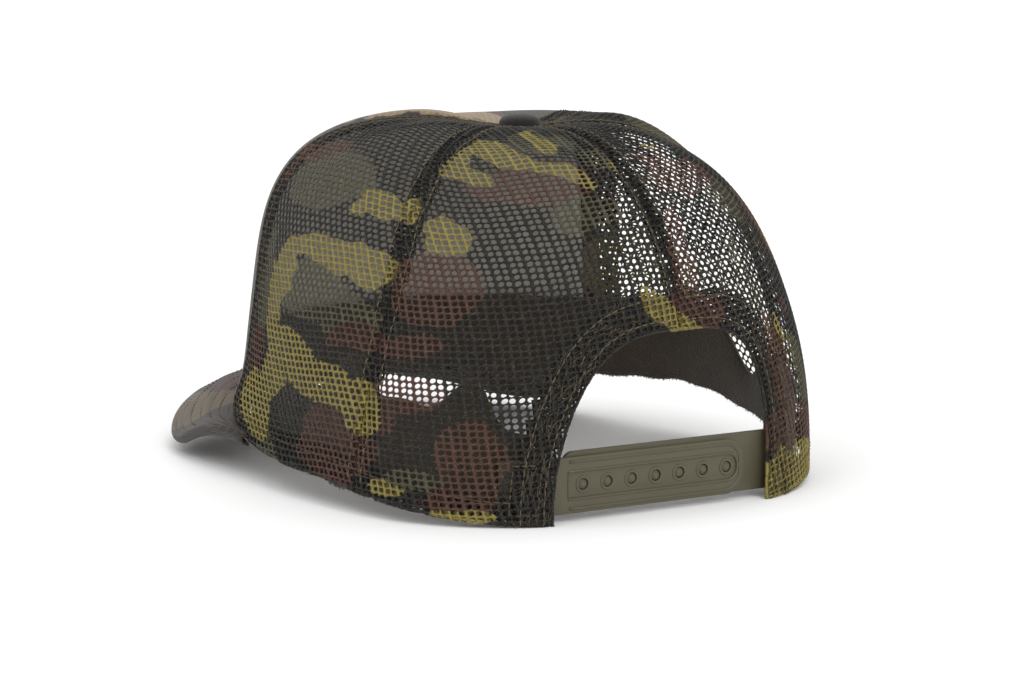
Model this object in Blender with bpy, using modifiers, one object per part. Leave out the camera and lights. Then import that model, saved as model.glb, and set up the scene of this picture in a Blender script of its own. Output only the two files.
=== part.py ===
"""Five-panel cap with a camo twill front, mesh back and a plastic snap strap.

Metres, +Z up, the floor at z = 0. The visor points to -Y, the snap strap is at +Y and the wearer's
left is +X. Angles round the crown run from the middle of the front towards the wearer's left.
"""
import math

import bmesh
import bpy
import numpy as np
from mathutils import Matrix, Vector

MM = 0.001

# crown
HALF_WIDTH = 93 * MM
FRONT_REACH = 97 * MM
REAR_REACH = 95 * MM
TOP = 124.5 * MM             # height of the dome before the button pulls it in
DIMPLE = 4 * MM
DIMPLE_RADIUS = 24 * MM
PLAN_POWER = 2.3             # super-ellipse power of the plan, a little squarer at the back
PLAN_POWER_REAR = 0.35
FRONT_EDGE = 22 * MM         # how high the lower edge is in the middle of the front
SIDE_EDGE_DROP = 12 * MM
REAR_EDGE_DROP = 10 * MM
RIGHT_ARCH = 11 * MM         # the right side of the lower edge stands higher than the left
TWIST = math.radians(7)      # the soft back sits turned on the floor by this much
TWIST_TOP = 86 * MM
APEX = 0.962                 # where panels end below the button, as a share of the way up

# cloth
MESH_CLOTH = 0.8 * MM
TWILL = 0.8 * MM
FOAM = 2.4 * MM
SEAM_DEPTH = 1.4 * MM        # from the outer face to a folded seam or hem on the inside
SEAM_HALF = 4.2 * MM
SWEATBAND_DEPTH = 6.4 * MM
SWEATBAND = 1.1 * MM
SWEATBAND_HEIGHT = 29 * MM
HEM_HEIGHT = 9 * MM
GAP = 0.3 * MM
THREAD = 0.35 * MM           # radius

FRONT_SEAM = 50.0            # degrees from the middle of the front
SIDE_SEAM = 109.0
LINING_EDGE = 46.0

# rear arch
ARCH_HALF = 42 * MM
ARCH_HEIGHT = 59.5 * MM
ARCH_HEM = 12.5 * MM

# visor
VISOR_SPAN = 66.0            # degrees each way
VISOR_REACH = 150 * MM
VISOR_HALF = 89.5 * MM
VISOR_ROOT = 40 * MM          # where its side tips meet the crown
VISOR_CLEAR = 0.5 * MM
VISOR_BOARD = 2.2 * MM
VISOR_CLOTH = 0.7 * MM
VISOR_GAP = 0.4 * MM

# snap strap, in its own frame: x along it, y outwards, z up
STRAP_TURN = -math.radians(6.7)
STRAP_Z = 12 * MM
STRAP_HALF = 9.2 * MM
STRAP_SHIFT = 1.0 * MM       # the snaps are this far left of the middle
STRAP_FACE = 87.0 * MM       # outer face of the outer strap
STRAP_THICK = 1.6 * MM
STRAP_STRAIGHT = 35 * MM     # straight up to here, then bent round under the cloth
STRAP_ROOT = 57 * MM
PITCH = 9.4 * MM
SNAPS = 7
HOLE_R = 1.9 * MM
STUD_R = 1.55 * MM
RING_R = 2.75 * MM
CHANNEL_HALF = 4.3 * MM
RECESS = 0.45 * MM
END_MARGIN = 6.6 * MM
INNER_EXTRA = 1.4 * MM       # the inner strap stands this much higher

# button
BUTTON_R = 7.3 * MM
BUTTON_H = 4.6 * MM


def clear():
    for item in list(bpy.data.objects):
        bpy.data.objects.remove(item)


def collection(name):
    group = bpy.data.collections.new(name)
    bpy.context.scene.collection.children.link(group)
    return group


clear()
CAP = collection("trucker_cap")
CUTTERS = collection("cutters")


def material(name, colour, roughness=0.9, metallic=0.0):
    mat = bpy.data.materials.new(name)
    mat.use_nodes = True
    bsdf = mat.node_tree.nodes["Principled BSDF"]
    bsdf.inputs["Base Color"].default_value = (*colour, 1)
    bsdf.inputs["Roughness"].default_value = roughness
    bsdf.inputs["Metallic"].default_value = metallic
    return mat


CAMO_TWILL = material("camo_twill", (0.26, 0.21, 0.12))
CAMO_MESH = material("camo_mesh", (0.07, 0.06, 0.045))
SEAM_MESH = material("seam_mesh", (0.04, 0.035, 0.03))
FOAM_MAT = material("foam", (0.5, 0.48, 0.44))
BAND_MAT = material("brushed_band", (0.09, 0.07, 0.045))
BOARD_MAT = material("board", (0.6, 0.57, 0.5), 0.6)
STRAP_MAT = material("olive_plastic", (0.11, 0.105, 0.06), 0.45)
BUTTON_MAT = material("button_cloth", (0.03, 0.022, 0.018))
TIN_MAT = material("tinplate", (0.6, 0.6, 0.6), 0.35, 1.0)
THREAD_MAT = material("khaki_thread", (0.32, 0.26, 0.13), 0.8)


# ---------------------------------------------------------------- the crown's surface

def smooth(x, a, b):
    t = np.clip((x - a) / (b - a), 0, 1)
    return t * t * (3 - 2 * t)


def off_front(angle):
    return np.degrees(np.abs((angle + math.pi) % (2 * math.pi) - math.pi))


def edge_height(angle):
    d = off_front(angle)
    right = np.degrees((angle + math.pi) % (2 * math.pi) - math.pi)
    lift = RIGHT_ARCH * np.exp(-((right + 82) / 27) ** 2)
    return FRONT_EDGE - SIDE_EDGE_DROP * smooth(d, 20, 95) - REAR_EDGE_DROP * smooth(d, 95, 156) + lift


def plan_radius(angle):
    d = off_front(angle)
    power = PLAN_POWER + PLAN_POWER_REAR * smooth(d, 90, 130)
    s, c = np.sin(angle), np.cos(angle)
    reach = np.where(c > 0, FRONT_REACH, REAR_REACH)
    return ((np.abs(s) / HALF_WIDTH) ** power + (np.abs(c) / reach) ** power) ** (-1 / power)


def profile(angle, up):
    """Share of the plan radius and of the height, for up from 0 at the edge to 1 at the top."""
    d = off_front(angle)
    power = 3.8 + 0.9 * smooth(d, 20, 55) - 2.15 * smooth(d, 65, 125)
    a = up * math.pi / 2
    c, s = np.clip(np.cos(a), 0, 1), np.clip(np.sin(a), 0, 1)
    reach = (c ** power + s ** power) ** (-1 / power)
    lean = 0.02 + 0.055 * (1 - smooth(d, 70, 120))
    return reach * c * (1 - lean * reach * s), reach * s


def crown(angle, up):
    angle, up = np.broadcast_arrays(np.asarray(angle, float), np.asarray(up, float))
    out, high = profile(angle, up)
    low = edge_height(angle)
    r = plan_radius(angle) * out
    z = low + (TOP - low) * high - DIMPLE * np.exp(-(r / DIMPLE_RADIUS) ** 2)
    x, y = r * np.sin(angle), -r * np.cos(angle)
    turn = -TWIST * smooth(y, -30 * MM, 60 * MM) * (1 - smooth(z, 1 * MM, TWIST_TOP))
    return np.stack([x * np.cos(turn) - y * np.sin(turn), x * np.sin(turn) + y * np.cos(turn), z], -1)


def inside(angle, up, depth):
    """Points at a depth below the crown's outer surface; a negative depth is outside it."""
    step = 1e-4
    across = crown(angle + step, up) - crown(angle - step, up)
    along = crown(angle, np.minimum(up + step, 1)) - crown(angle, up - step)
    normal = np.cross(across, along)
    normal /= np.linalg.norm(normal, axis=-1, keepdims=True)
    return crown(angle, up) - depth * normal


def up_at(angle, z):
    """How far up the crown a height is, on the meridian at angle."""
    lo, hi = np.zeros_like(angle * z), np.full_like(angle * z, 0.9)
    for _ in range(40):
        mid = (lo + hi) / 2
        below = crown(angle, mid)[..., 2] < z
        lo, hi = np.where(below, mid, lo), np.where(below, hi, mid)
    return (lo + hi) / 2


def arch(t, half, height, side):
    """(angle, up) on an arch round the rear opening, t from 0 at the corner to 1 at the top."""
    a = t * math.pi / 2
    z = height * np.sin(a) ** 0.7
    x = half * np.clip(np.cos(a), 0, 1) ** 0.62
    angle = np.full_like(t, math.pi)
    for _ in range(30):
        up = up_at(angle, z)
        r = plan_radius(angle) * profile(angle, up)[0]
        angle = math.pi - np.arcsin(np.clip(x / r, -1, 1))
    return side * angle, up


# ---------------------------------------------------------------- builders

def finish(mesh, name, mat, group=None):
    ob = bpy.data.objects.new(name, mesh)
    mesh.materials.append(mat)
    (group or CAP).objects.link(ob)
    return ob


def sheet(name, points, thick, mat):
    """A cloth of one thickness whose outer face is a grid of points; it thickens inwards."""
    rows, cols = points.shape[:2]
    faces = [(r * cols + c, r * cols + c + 1, (r + 1) * cols + c + 1, (r + 1) * cols + c)
             for r in range(rows - 1) for c in range(cols - 1)]
    mesh = bpy.data.meshes.new(name)
    mesh.from_pydata([tuple(p) for p in points.reshape(-1, 3)], [], faces)
    ob = finish(mesh, name, mat)
    mod = ob.modifiers.new("thickness", "SOLIDIFY")
    mod.thickness, mod.offset, mod.use_even_offset = thick, -1, True
    return ob


def crowded(share):
    """Rows lie closer together half way, where the crown turns over its shoulder."""
    return share + 0.45 * np.sin(2 * math.pi * share) / (2 * math.pi)


def patch(name, a0, a1, u0, u1, depth, thick, mat, cols=12, rows=16):
    """A cloth between two meridians, in degrees, and two shares of the way up."""
    lo, hi = math.radians(min(a0, a1)), math.radians(max(a0, a1))
    angle = np.linspace(lo, hi, cols)[None, :]
    share = crowded(np.linspace(0, 1, rows))[:, None]
    up = u0(angle) * (1 - share) + u1(angle) * share
    return sheet(name, inside(np.broadcast_to(angle, up.shape), up, depth), thick, mat)


def level(value):
    return lambda angle: np.full_like(angle, value)


def above_edge(height):
    return lambda angle: up_at(angle, edge_height(angle) + height)


def thread(name, points, closed=False):
    curve = bpy.data.curves.new(name, "CURVE")
    curve.dimensions = "3D"
    spline = curve.splines.new("POLY")
    spline.points.add(len(points) - 1)
    for point, at in zip(spline.points, points):
        point.co = (*at, 1)
    spline.use_cyclic_u = closed
    curve.bevel_depth, curve.bevel_resolution, curve.use_fill_caps = THREAD, 1, True
    curve.materials.append(THREAD_MAT)
    ob = bpy.data.objects.new(name, curve)
    CAP.objects.link(ob)
    return ob


# ---------------------------------------------------------------- panels

SIDES = (("left", 1), ("right", -1))
EDGE = math.degrees(0.1 * MM / HALF_WIDTH) * 1.6   # half of the gap between neighbouring cloths

patch("front_panel", -FRONT_SEAM + EDGE, FRONT_SEAM - EDGE, level(0), level(APEX), 0, TWILL, CAMO_TWILL,
      20, 21)
patch("front_lining", -LINING_EDGE, LINING_EDGE, above_edge(1 * MM), level(0.93), SEAM_DEPTH, FOAM, FOAM_MAT, 18, 20)


def rear_panel(side):
    """The mesh quarter between a side seam and the back seam, with half of the arch cut away."""
    below, above = 14, 13
    t = np.linspace(0, 1, below)
    arch_angle, arch_up = arch(t, ARCH_HALF, ARCH_HEIGHT, 1)
    arch_angle[-1] = math.pi - math.radians(EDGE)
    rise = np.linspace(arch_up[-1], APEX, above + 1)[1:]
    edge_angle = np.concatenate([arch_angle, np.full(above, math.pi - math.radians(EDGE))])
    edge_up = np.concatenate([arch_up, rise])
    seam_up = np.concatenate([np.linspace(0, arch_up[-1], below) ** 1.0, rise])
    share = np.linspace(0, 1, 13)[None, :]
    seam = math.radians(SIDE_SEAM + EDGE)
    angle = seam * (1 - share) + edge_angle[:, None] * share
    up = seam_up[:, None] * (1 - share) + edge_up[:, None] * share
    if side < 0:
        angle, up = -angle[:, ::-1], up[:, ::-1]
    return inside(angle, up, 0.0)


for word, side in SIDES:
    patch(f"{word}_side_panel", side * (FRONT_SEAM + EDGE), side * (SIDE_SEAM - EDGE), level(0),
          level(APEX), 0, MESH_CLOTH, CAMO_MESH, 12, 21)
    sheet(f"{word}_rear_panel", rear_panel(side), MESH_CLOTH, CAMO_MESH)


# ---------------------------------------------------------------- seams, hems and the sweatband

def seam_band(name, at, first, last=0.9, lean=0):
    """A folded seam of constant width up a meridian, narrowing where the panels meet.

    lean 1 or -1 puts all of it on one side of the meridian.
    """
    up = first + (last - first) * crowded(np.linspace(0, 1, 19))[:, None]
    centre = math.radians(at)
    r = plan_radius(np.full_like(up, centre)) * profile(np.full_like(up, centre), up)[0]
    half = np.minimum(SEAM_HALF / r, math.radians(15))
    angle = centre + half * (np.linspace(-1, 1, 4)[None, :] + lean)
    up = np.broadcast_to(up, angle.shape)
    sheet(name, inside(angle, up, SEAM_DEPTH), MESH_CLOTH, SEAM_MESH)


HEM_TOP = 0.065
for word, side in SIDES:
    seam_band(f"{word}_front_seam", side * (LINING_EDGE + 0.5), HEM_TOP, lean=side)
    seam_band(f"{word}_side_seam", side * SIDE_SEAM, HEM_TOP)

back_angle, back_up = arch(np.array([1.0]), ARCH_HALF + ARCH_HEM, ARCH_HEIGHT + ARCH_HEM, 1)
seam_band("back_seam", 180, float(back_up[0]) + 0.012)

for word, side in SIDES:
    t = np.linspace(0, 0.995, 22)
    low = 0.6 * MM
    near_angle, near_up = arch(t, ARCH_HALF + GAP, ARCH_HEIGHT + GAP, 1)
    far_angle, far_up = arch(t, ARCH_HALF + ARCH_HEM, ARCH_HEIGHT + ARCH_HEM, 1)
    share = np.linspace(0, 1, 4)[None, :]
    angle = far_angle[:, None] * (1 - share) + near_angle[:, None] * share
    up = far_up[:, None] * (1 - share) + near_up[:, None] * share
    up = np.maximum(up, up_at(angle, np.full_like(angle, low)))
    if side < 0:
        angle, up = -angle[:, ::-1], up[:, ::-1]
    sheet(f"{word}_arch_hem", inside(angle, up, SEAM_DEPTH), MESH_CLOTH, SEAM_MESH)
    corner = math.degrees(float(far_angle[0]))
    patch(f"{word}_lower_hem", side * (FRONT_SEAM + 6), side * (corner - 0.4), above_edge(0.6 * MM),
          above_edge(HEM_HEIGHT), SEAM_DEPTH, MESH_CLOTH, SEAM_MESH, 22, 4)
    patch(f"{word}_sweatband", side * 0.12, side * (corner - 2), above_edge(1 * MM),
          above_edge(SWEATBAND_HEIGHT), SWEATBAND_DEPTH, SWEATBAND, BAND_MAT, 30, 4)


# ---------------------------------------------------------------- visor

def visor(u, w):
    """A point in the middle of the visor: u across from -1 to 1, w from the crown at 0 to the rim at 1."""
    u, w = np.broadcast_arrays(np.asarray(u, float), np.asarray(w, float))
    angle = u * math.radians(VISOR_SPAN)
    root = inside(angle, np.zeros_like(angle) + 2e-4, -VISOR_CLEAR)
    c, s = np.cos(u * math.pi / 2), np.sin(u * math.pi / 2)
    c = np.clip(c, 0, 1)
    rim = np.stack([VISOR_HALF * np.sign(s) * np.abs(s) ** 0.95,
                    -VISOR_ROOT - (VISOR_REACH - VISOR_ROOT) * c ** 0.72,
                    -4 * MM + (13 * c ** 1.6 + 12 * np.abs(s) ** 14) * MM], -1)
    rim[..., 2] += 0.6 * MM
    # the side tips come back up to the crown's own edge
    blend = (np.abs(s) ** 14)[..., None]
    rim[..., 2:] = rim[..., 2:] * (1 - blend) + root[..., 2:] * blend
    point = root + (rim - root) * w[..., None]
    point[..., 2] += 5 * MM * np.sin(w * math.pi) * c
    return point


def visor_layer(name, offset, thick, mat, inset, cols=28, rows=7):
    u = np.linspace(-1 + inset, 1 - inset, cols)[None, :]
    w = np.linspace(inset, 1 - inset, rows)[:, None]
    points = visor(u, w)
    normal = np.cross(np.gradient(points, axis=1), np.gradient(points, axis=0))
    normal /= np.linalg.norm(normal, axis=-1, keepdims=True)
    normal *= np.sign(normal[..., 2:])
    return sheet(name, (points + offset * normal)[::-1], thick, mat)


HALF_BOARD = VISOR_BOARD / 2
visor_layer("visor_top_cover", HALF_BOARD + VISOR_GAP + VISOR_CLOTH, VISOR_CLOTH, CAMO_TWILL, 0.0)
visor_layer("visor_board", HALF_BOARD, VISOR_BOARD, BOARD_MAT, 0.02)
visor_layer("visor_under_cover", -HALF_BOARD - VISOR_GAP, VISOR_CLOTH, CAMO_TWILL, 0.0)


# ---------------------------------------------------------------- button

def turned(name, profile_points, mat, at):
    """A solid of revolution about a vertical axis from (radius, height) points, top to bottom."""
    mesh = bpy.data.meshes.new(name)
    count = len(profile_points)
    mesh.from_pydata([(r, 0, z) for r, z in profile_points], [(i, i + 1) for i in range(count - 1)], [])
    ob = finish(mesh, name, mat)
    mod = ob.modifiers.new("turn", "SCREW")
    mod.steps = mod.render_steps = 24
    mod.use_merge_vertices, mod.merge_threshold = True, 0.00001
    ob.location = at
    return ob


top_z = float(crown(0.0, 1.0)[2])
CENTRE = (0, 0, top_z)


def dome(radius, height, floor, steps=7):
    return [(radius * math.sin(a), floor + (height - floor) * math.cos(a) ** 0.8)
            for a in (math.pi / 2 * i / steps for i in range(steps + 1))]


cover_low = 0.9 * MM
outer = dome(BUTTON_R, BUTTON_H, cover_low)
inner = dome(BUTTON_R - 0.8 * MM, BUTTON_H - 0.8 * MM, cover_low)[::-1]
outer[0], inner[-1] = (0, BUTTON_H), (0, BUTTON_H - 0.8 * MM)
turned("button_cover", outer + inner, BUTTON_MAT, CENTRE)
shell = dome(BUTTON_R - 1.1 * MM, BUTTON_H - 1.1 * MM, cover_low + 0.2 * MM)
shell[0] = (0, BUTTON_H - 1.1 * MM)
stem = [(1.2 * MM, cover_low + 0.2 * MM), (1.2 * MM, -4.4 * MM), (0, -4.4 * MM)]
turned("button_shell", shell + stem, TIN_MAT, CENTRE)
turned("button_washer", [(1.5 * MM, -5.4 * MM), (6 * MM, -5.4 * MM), (6 * MM, -6 * MM),
                         (1.5 * MM, -6 * MM), (1.5 * MM, -5.4 * MM)], TIN_MAT, CENTRE)


# ---------------------------------------------------------------- snap strap

def rear_wall(x):
    """How far back the crown's outer face is at x, in the strap's frame."""
    power = PLAN_POWER + PLAN_POWER_REAR
    return REAR_REACH * (1 - (abs(x) / HALF_WIDTH) ** power) ** (1 / power)


def bent(face, at):
    """Carries a straight strap's point to the bent one. face is its straight outer face."""
    x, y, z = at
    if abs(x) <= STRAP_STRAIGHT:
        return Vector((x, y, z))
    room = 4.3 * MM
    span = STRAP_ROOT - STRAP_STRAIGHT
    s = (abs(x) - STRAP_STRAIGHT) / span

    def path(s):
        far = STRAP_STRAIGHT + s * span
        target = rear_wall(far) - room
        w = 1 - math.exp(-(2.4 * s) ** 2)
        return Vector((math.copysign(far, x), min(face, face * (1 - w) + target * w), 0))

    here, ahead = path(s), path(s + 0.02)
    along = (ahead - here).normalized()
    normal = Vector((-along.y, along.x, 0))
    if normal.y < 0:
        normal = -normal
    return here + normal * (y - face) + Vector((0, 0, z))


def outline(name, points, depth):
    curve = bpy.data.curves.new(name, "CURVE")
    curve.dimensions, curve.fill_mode = "2D", "BOTH"
    spline = curve.splines.new("POLY")
    spline.points.add(len(points) - 1)
    for point, (x, z) in zip(spline.points, points):
        point.co = (x, z, 0, 1)
    spline.use_cyclic_u = True
    curve.extrude = depth / 2
    carrier = bpy.data.objects.new(name, curve)
    CUTTERS.objects.link(carrier)
    carrier.rotation_euler = (math.pi / 2, 0, 0)
    bpy.context.view_layer.update()
    mesh = bpy.data.meshes.new_from_object(carrier.evaluated_get(bpy.context.evaluated_depsgraph_get()))
    mesh.transform(carrier.matrix_world)
    bpy.data.objects.remove(carrier)
    work = bmesh.new()
    work.from_mesh(mesh)
    bmesh.ops.remove_doubles(work, verts=work.verts, dist=0.00001)
    bmesh.ops.recalc_face_normals(work, faces=work.faces)
    work.to_mesh(mesh)
    work.free()
    return mesh


def rounded_end(root_x, tip_x, half_low, half_high, radius, steps=8):
    """Outline of a strap from its root to a free end with round corners."""
    way = math.copysign(1, tip_x - root_x)
    points = [(root_x, half_high), (root_x, -half_low)]
    for centre_z, first in ((-half_low + radius, 3), (half_high - radius, 0)):
        for i in range(steps + 1):
            a = math.pi / 2 * (first + i / steps)
            points.append((tip_x - way * radius + way * radius * math.cos(a), centre_z + radius * math.sin(a)))
    return points


def peg(radius, length, at, steps=16, tip=None):
    """A round peg along Y that ends at `at`; tip is its radius at that end if it tapers."""
    mesh = bpy.data.meshes.new("peg")
    work = bmesh.new()
    bmesh.ops.create_cone(work, cap_ends=True, segments=steps, radius1=radius, radius2=tip or radius,
                          depth=length)
    work.transform(Matrix.Translation((at[0], at[1] - length / 2, at[2])) @
                   Matrix.Rotation(-math.pi / 2, 4, "X"))
    work.to_mesh(mesh)
    work.free()
    return mesh


def worked(base, steps):
    """A mesh after a list of (operation, mesh) Booleans."""
    carrier = bpy.data.objects.new("blank", base)
    CUTTERS.objects.link(carrier)
    tools = []
    for operation, mesh in steps:
        tool = bpy.data.objects.new("tool", mesh)
        CUTTERS.objects.link(tool)
        tool.hide_render, tool.display_type = True, "WIRE"
        mod = carrier.modifiers.new(operation, "BOOLEAN")
        mod.operation, mod.solver, mod.object = operation, "EXACT", tool
        tools.append(tool)
    bpy.context.view_layer.update()
    mesh = bpy.data.meshes.new_from_object(carrier.evaluated_get(bpy.context.evaluated_depsgraph_get()))
    for item in (carrier, *tools):
        bpy.data.objects.remove(item)
    return mesh


def strap(name, mesh, face, hinge_x):
    """Bends a straight strap's ends round the crown and puts its origin on its hinge."""
    work = bmesh.new()
    work.from_mesh(mesh)
    for side in (-1, 1):
        for i in range(6):
            x = side * (STRAP_STRAIGHT + i * (STRAP_ROOT - STRAP_STRAIGHT) / 6 + 0.01 * MM)
            bmesh.ops.bisect_plane(work, geom=work.verts[:] + work.edges[:] + work.faces[:],
                                   plane_co=(x, 0, 0), plane_no=(1, 0, 0), dist=1e-7)
    bmesh.ops.triangulate(work, faces=work.faces)
    pivot = Vector((hinge_x, STRAP_FACE - STRAP_THICK, 0))
    for vert in work.verts:
        vert.co = bent(face, vert.co) - pivot
    mesh = bpy.data.meshes.new(name)
    work.to_mesh(mesh)
    work.free()
    ob = finish(mesh, name, STRAP_MAT)
    turn = Matrix.Rotation(STRAP_TURN, 4, "Z")
    ob.location = turn @ (pivot + Vector((0, 0, STRAP_Z)))
    ob.rotation_euler = (0, 0, STRAP_TURN)
    return ob


def moved(mesh, y):
    mesh.transform(Matrix.Translation((0, y, 0)))
    return mesh


snap_x = [STRAP_SHIFT + (i - (SNAPS - 1) / 2) * PITCH for i in range(SNAPS)]
tip_x = snap_x[0] - END_MARGIN
blank = moved(outline("outer", rounded_end(STRAP_ROOT, tip_x, STRAP_HALF, STRAP_HALF, 7 * MM), STRAP_THICK),
              STRAP_FACE - STRAP_THICK / 2)
channel = moved(outline("channel", rounded_end(snap_x[-1] + 6 * MM, tip_x + 1.9 * MM, CHANNEL_HALF,
                                               CHANNEL_HALF, 4.2 * MM), 2 * RECESS), STRAP_FACE)
work_steps = [("DIFFERENCE", channel)]
for x in snap_x:
    work_steps.append(("UNION", peg(RING_R, 0.8 * MM, (x, STRAP_FACE - 0.1 * MM, 0), 20)))
for x in snap_x:
    work_steps.append(("DIFFERENCE", peg(HOLE_R, 3 * MM, (x, STRAP_FACE + 0.7 * MM, 0), 20)))
strap("outer_strap", worked(blank, work_steps), STRAP_FACE, 44 * MM)

inner_face = STRAP_FACE - STRAP_THICK - GAP
inner_tip = snap_x[-1] + END_MARGIN
blank = moved(outline("inner", rounded_end(-STRAP_ROOT, inner_tip, STRAP_HALF, STRAP_HALF + INNER_EXTRA,
                                           4 * MM), STRAP_THICK), inner_face - STRAP_THICK / 2)
work_steps = []
for x in snap_x:
    work_steps.append(("UNION", peg(STUD_R, 2.6 * MM, (x, inner_face + 1.4 * MM, 0))))
    work_steps.append(("UNION", peg(STUD_R * 0.97, 0.9 * MM, (x, inner_face + 1.75 * MM, 0), 16, 0.9 * MM)))
strap("inner_strap", worked(blank, work_steps), inner_face, -44 * MM)

for word, side in SIDES:
    corners = [(44.5, 4), (52, 4), (52, 20), (44.5, 20)]
    loop = []
    for i, (x0, z0) in enumerate(corners):
        x1, z1 = corners[(i + 1) % 4]
        loop += [(x0 + (x1 - x0) * k / 6, z0 + (z1 - z0) * k / 6) for k in range(6)]
    x, z = (np.array(v) * MM for v in zip(*loop))
    angle = math.pi - np.arcsin(x / plan_radius(np.full_like(x, math.pi)))
    angle = side * angle
    points = inside(angle, up_at(angle, z), -(THREAD + 0.15 * MM))
    thread(f"{word}_strap_stitching", points, closed=True)
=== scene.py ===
import math

import bmesh
import bpy
import numpy as np
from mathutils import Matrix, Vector


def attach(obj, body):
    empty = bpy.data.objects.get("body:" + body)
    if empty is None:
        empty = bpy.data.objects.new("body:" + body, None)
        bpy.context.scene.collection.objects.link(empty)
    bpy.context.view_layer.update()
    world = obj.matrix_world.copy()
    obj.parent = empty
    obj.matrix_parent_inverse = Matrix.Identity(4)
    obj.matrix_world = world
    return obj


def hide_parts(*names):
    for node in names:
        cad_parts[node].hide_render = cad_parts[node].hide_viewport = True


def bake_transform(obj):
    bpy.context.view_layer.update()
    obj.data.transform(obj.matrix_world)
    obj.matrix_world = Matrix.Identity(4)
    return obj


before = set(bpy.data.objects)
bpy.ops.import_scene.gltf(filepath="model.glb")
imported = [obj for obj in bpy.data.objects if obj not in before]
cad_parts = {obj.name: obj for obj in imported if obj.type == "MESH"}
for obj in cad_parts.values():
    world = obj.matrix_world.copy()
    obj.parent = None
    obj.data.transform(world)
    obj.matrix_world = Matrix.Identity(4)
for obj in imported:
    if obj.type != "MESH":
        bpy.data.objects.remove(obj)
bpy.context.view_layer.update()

MM = 0.001
RNG = np.random.default_rng(7)

# ---------------------------------------------------------------- the crown's surface

# The CAD has other values for the seams, the lining's edge and the visor.
HALF_WIDTH, FRONT_REACH, REAR_REACH = 93 * MM, 97 * MM, 95 * MM
TOP, DIMPLE, DIMPLE_RADIUS = 124.5 * MM, 4 * MM, 24 * MM
PLAN_POWER, PLAN_POWER_REAR = 2.3, 0.35
FRONT_EDGE, SIDE_EDGE_DROP, REAR_EDGE_DROP, RIGHT_ARCH = 22 * MM, 12 * MM, 10 * MM, 11 * MM
TWIST, TWIST_TOP = math.radians(7), 86 * MM
APEX = 0.962
FRONT_SEAM, SIDE_SEAM, LINING_EDGE = 57.0, 114.0, 53.0
ARCH_HALF, ARCH_HEIGHT, ARCH_HEM = 42 * MM, 59.5 * MM, 12.5 * MM
VISOR_SPAN, VISOR_REACH, VISOR_HALF, VISOR_ROOT = 66.0, 147 * MM, 88.5 * MM, 40 * MM
VISOR_LOW, VISOR_RISE, VISOR_RISE_POWER = -5 * MM, 22 * MM, 1.2
VISOR_TIP, VISOR_TIP_POWER, VISOR_BOW = 12 * MM, 24, 5 * MM
STRAP_TURN, STRAP_FACE, STRAP_Z = -math.radians(6.7), 87.0 * MM, 12 * MM


def smooth(x, a, b):
    """Rises smoothly from 0 at a to 1 at b."""
    t = np.clip((x - a) / (b - a), 0, 1)
    return t * t * (3 - 2 * t)


def off_front(angle):
    """Degrees away from the middle of the front, on either side."""
    return np.degrees(np.abs((angle + math.pi) % (2 * math.pi) - math.pi))


def edge_height(angle):
    """Height of the crown's lower edge."""
    d = off_front(angle)
    right = np.degrees((angle + math.pi) % (2 * math.pi) - math.pi)
    lift = RIGHT_ARCH * np.exp(-((right + 82) / 27) ** 2)
    return FRONT_EDGE - SIDE_EDGE_DROP * smooth(d, 20, 95) - REAR_EDGE_DROP * smooth(d, 95, 156) + lift


def plan_radius(angle):
    """Radius of the crown's widest outline: a super-ellipse, squarer at the back."""
    power = PLAN_POWER + PLAN_POWER_REAR * smooth(off_front(angle), 90, 130)
    s, c = np.sin(angle), np.cos(angle)
    reach = np.where(c > 0, FRONT_REACH, REAR_REACH)
    return ((np.abs(s) / HALF_WIDTH) ** power + (np.abs(c) / reach) ** power) ** (-1 / power)


def profile(angle, up):
    """Share of the radius and share of the height, at a share of the way up a meridian."""
    d = off_front(angle)
    power = 3.8 + 0.9 * smooth(d, 20, 55) - 2.15 * smooth(d, 65, 125)
    a = up * math.pi / 2
    c, s = np.clip(np.cos(a), 0, 1), np.clip(np.sin(a), 0, 1)
    reach = (c ** power + s ** power) ** (-1 / power)
    lean = 0.02 + 0.055 * (1 - smooth(d, 70, 120))
    return reach * c * (1 - lean * reach * s), reach * s


def crown(angle, up):
    """Points on the crown's outer face; angle 0 is the front and grows towards the wearer's left."""
    angle, up = np.broadcast_arrays(np.asarray(angle, float), np.asarray(up, float))
    out, high = profile(angle, up)
    low = edge_height(angle)
    r = plan_radius(angle) * out
    z = low + (TOP - low) * high - DIMPLE * np.exp(-(r / DIMPLE_RADIUS) ** 2)
    x, y = r * np.sin(angle), -r * np.cos(angle)
    turn = -TWIST * smooth(y, -30 * MM, 60 * MM) * (1 - smooth(z, 1 * MM, TWIST_TOP))
    return np.stack([x * np.cos(turn) - y * np.sin(turn), x * np.sin(turn) + y * np.cos(turn), z], -1)


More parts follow.
